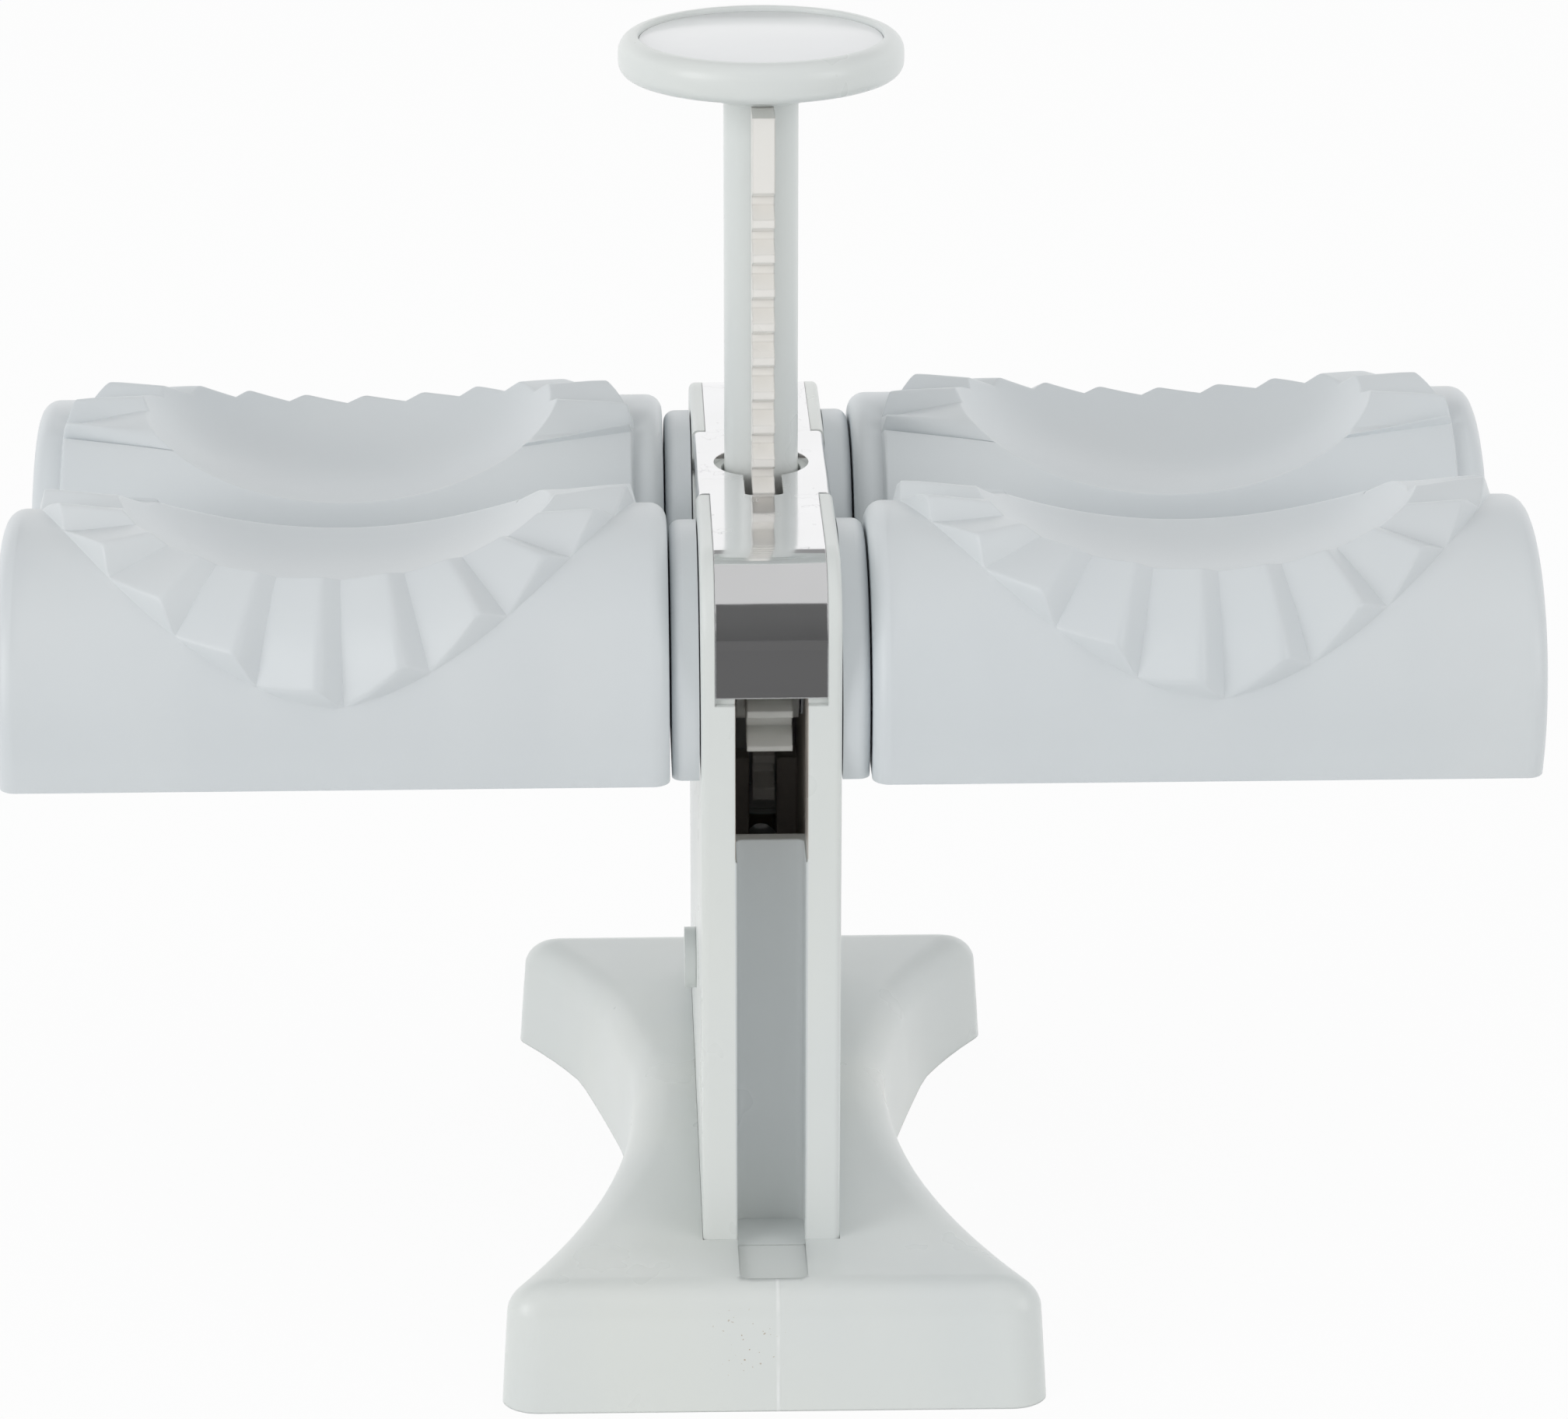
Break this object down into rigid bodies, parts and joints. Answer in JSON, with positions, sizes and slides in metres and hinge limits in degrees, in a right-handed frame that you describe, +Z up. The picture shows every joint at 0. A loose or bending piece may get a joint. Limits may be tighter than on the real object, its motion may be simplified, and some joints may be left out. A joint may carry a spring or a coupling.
{
  "type": "pastry folding press",
  "caption": "Hand press that folds and pleats filled dough: a push button drives a rack that turns two rollers with hollow half-barrel moulds on a waisted foot.",
  "frame": {"origin": "under the middle of the foot, on the surface it stands on", "axes": "+X to the right along the rollers, +Y to the rear, +Z up; the press is seen from the front with its button up"},
  "size_m": [0.235, 0.1486, 0.2005],
  "materials": {
    "body_plastic": "fine satin moulded white",
    "roller_plastic": "fine satin moulded cool white",
    "gear_plastic": "smooth moulded",
    "inner_plastic": "smooth moulded",
    "plate_plastic": "glossy",
    "bright_steel": "mirror polished sheet",
    "steel": "bright drawn"
  },
  "bodies": {
    "stand": {"base": "body_plastic", "column": "body_plastic", "cover_strap": "bright_steel", "side_plug": "body_plastic", "column_screws": "steel", "guide_screw": "steel", "spring_guide": "inner_plastic", "return_spring": "steel"},
    "plunger": {"plunger": "body_plastic", "stop_ring": "inner_plastic", "button_head": "body_plastic", "button_plate": "plate_plastic", "button_screw": "steel"},
    "front_roller": {"front_gear": "gear_plastic", "front_shaft": "steel", "front_left_hub": "roller_plastic", "front_right_hub": "roller_plastic", "front_left_mould": "roller_plastic", "front_right_mould": "roller_plastic"},
    "rear_roller": {"rear_gear": "gear_plastic", "rear_shaft": "steel", "rear_left_hub": "roller_plastic", "rear_right_hub": "roller_plastic", "rear_left_mould": "roller_plastic", "rear_right_mould": "roller_plastic"}
  },
  "joints": [
    {"name": "button_press", "type": "slide", "parent": "stand", "child": "plunger", "axis": [0, 0, -1], "range_m": [0, 0.0495], "stiffness_N_per_m": 220, "springref_m": -0.012, "deforming": ["return_spring"]},
    {"name": "front_roll", "type": "hinge", "parent": "stand", "child": "front_roller", "pos_m": [0, -0.029, 0.1045], "axis": [-1, 0, 0], "range_deg": [0, 180]},
    {"name": "rear_roll", "type": "hinge", "parent": "stand", "child": "rear_roller", "pos_m": [0, 0.029, 0.1045], "axis": [1, 0, 0], "range_deg": [0, 180]}
  ],
  "couplings": [
    {"joint": "button_press", "follows": "front_roll", "m_per_rad": 0.01575},
    {"joint": "rear_roll", "follows": "front_roll", "ratio": 1}
  ]
}
